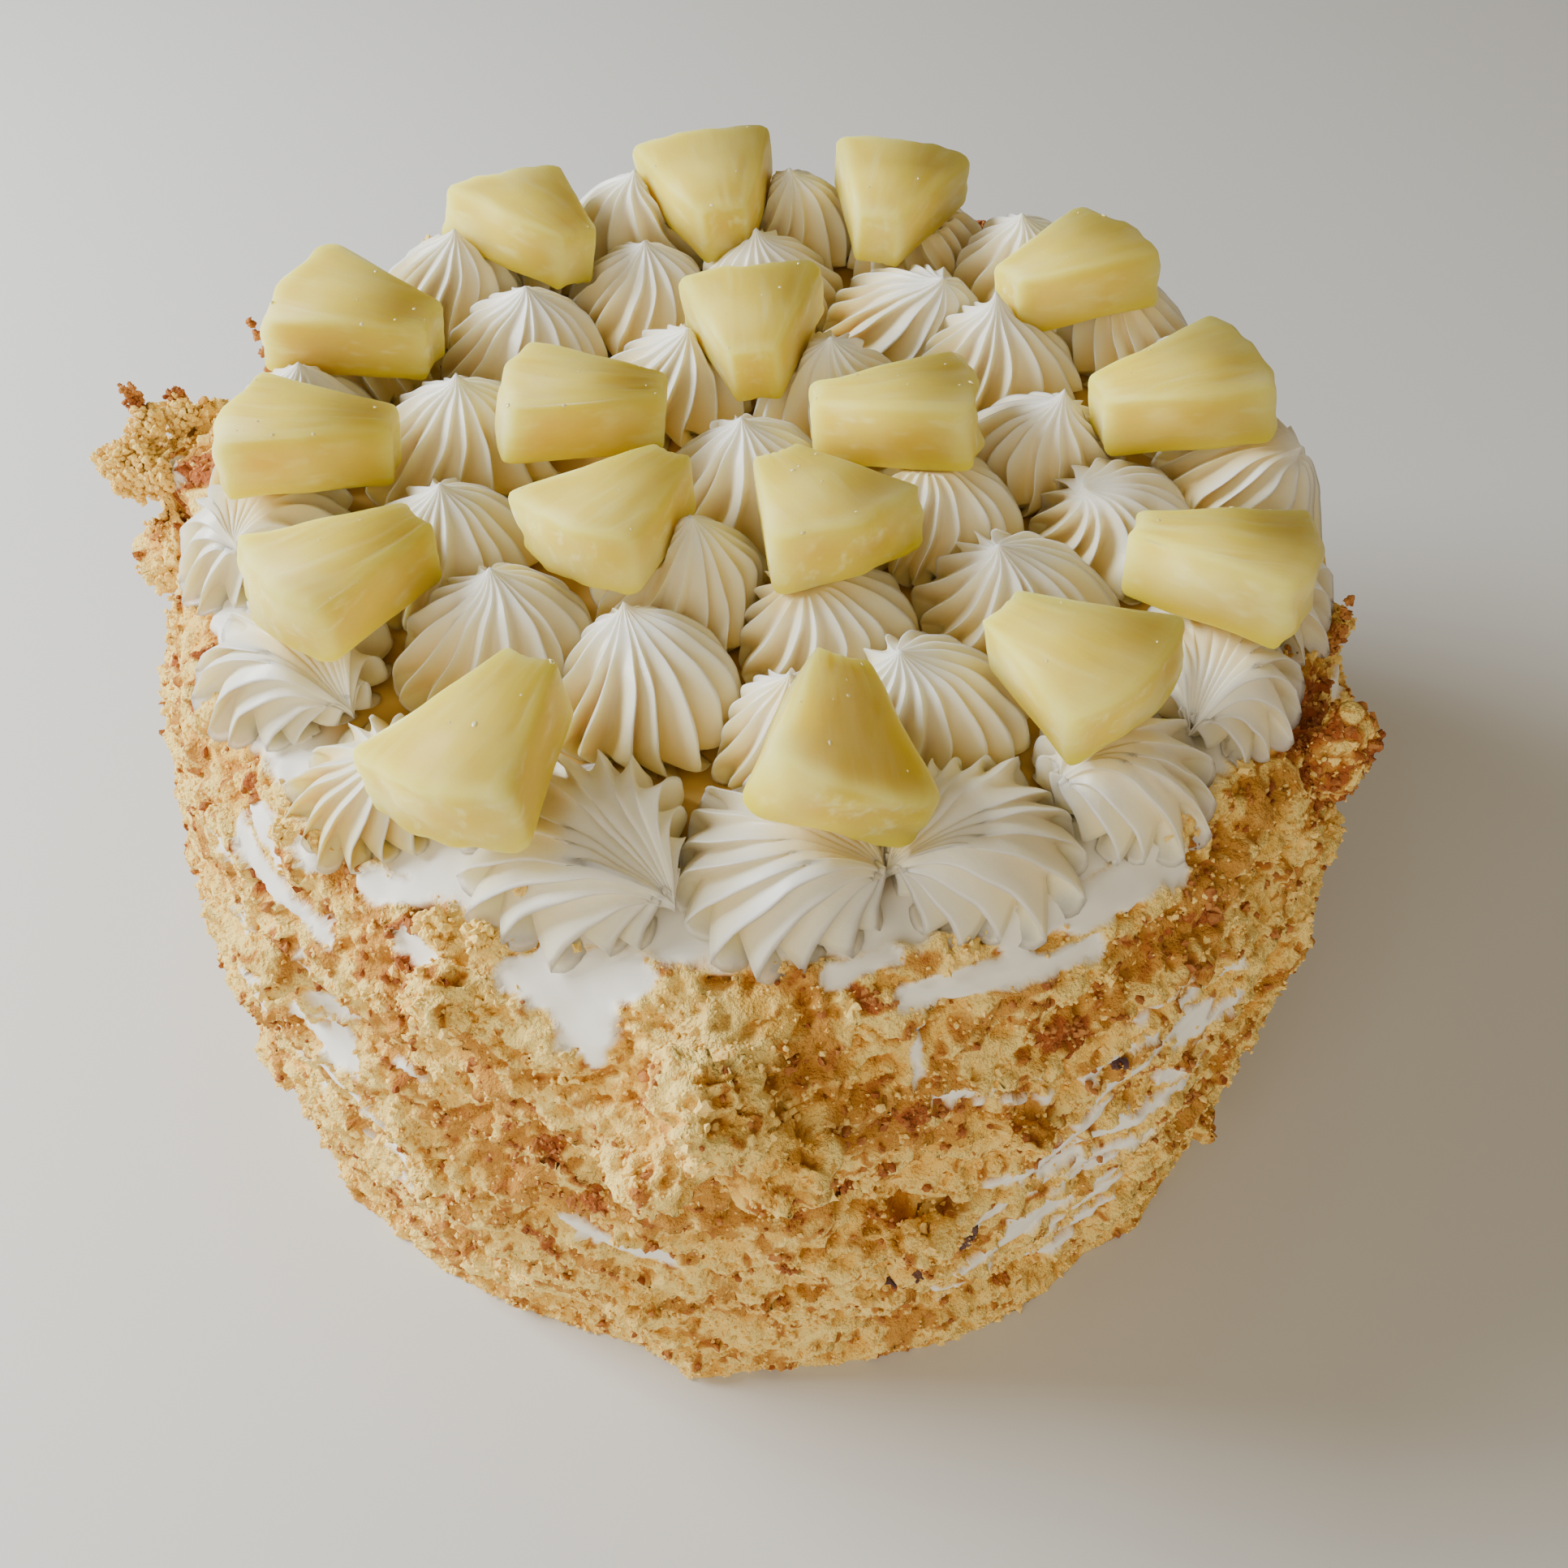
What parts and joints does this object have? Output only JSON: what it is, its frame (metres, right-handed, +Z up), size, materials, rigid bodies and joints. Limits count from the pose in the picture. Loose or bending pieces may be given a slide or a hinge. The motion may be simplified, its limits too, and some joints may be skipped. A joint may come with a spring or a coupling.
{
  "type": "pineapple cream cake",
  "caption": "Tall round layer cake coated in cream and crumbled sponge, topped with piped cream rosettes and wedges of pineapple pressed into them.",
  "frame": {"origin": "centre of the cake's flat base, where it stands", "axes": "+Z up through the cake, -Y towards the side that faces the viewer, +X to the viewer's right"},
  "size_m": [0.2177, 0.2169, 0.1353],
  "materials": {
    "sponge_crumb": "dry crumbled sponge with browned bits, pressed into soft cream",
    "cream": "soft satin piped cream, slightly translucent",
    "pineapple": "wet translucent tinned fruit with fine radial fibres"
  },
  "bodies": {
    "root": {"cake_body": "sponge_crumb", "pineapple_01": "pineapple", "pineapple_02": "pineapple", "pineapple_03": "pineapple", "pineapple_04": "pineapple", "pineapple_05": "pineapple", "pineapple_06": "pineapple", "pineapple_07": "pineapple", "pineapple_08": "pineapple", "pineapple_09": "pineapple", "pineapple_10": "pineapple", "pineapple_11": "pineapple", "pineapple_12": "pineapple", "pineapple_13": "pineapple", "pineapple_14": "pineapple", "pineapple_15": "pineapple", "pineapple_16": "pineapple", "pineapple_17": "pineapple", "rosette_01": "cream", "rosette_02": "cream", "rosette_03": "cream", "rosette_04": "cream", "rosette_05": "cream", "rosette_06": "cream", "rosette_07": "cream", "rosette_08": "cream", "rosette_09": "cream", "rosette_10": "cream", "rosette_11": "cream", "rosette_12": "cream", "rosette_13": "cream", "rosette_14": "cream", "rosette_15": "cream", "rosette_16": "cream", "rosette_17": "cream", "rosette_18": "cream", "rosette_19": "cream", "rosette_20": "cream", "rosette_21": "cream", "rosette_22": "cream", "rosette_23": "cream", "rosette_24": "cream", "rosette_25": "cream", "rosette_26": "cream", "rosette_27": "cream", "rosette_28": "cream", "rosette_29": "cream", "rosette_30": "cream", "rosette_31": "cream", "rosette_32": "cream", "rosette_33": "cream", "rosette_34": "cream", "rosette_35": "cream", "rosette_36": "cream", "rosette_37": "cream", "rosette_38": "cream", "rosette_39": "cream", "rosette_40": "cream"}
  },
  "joints": []
}
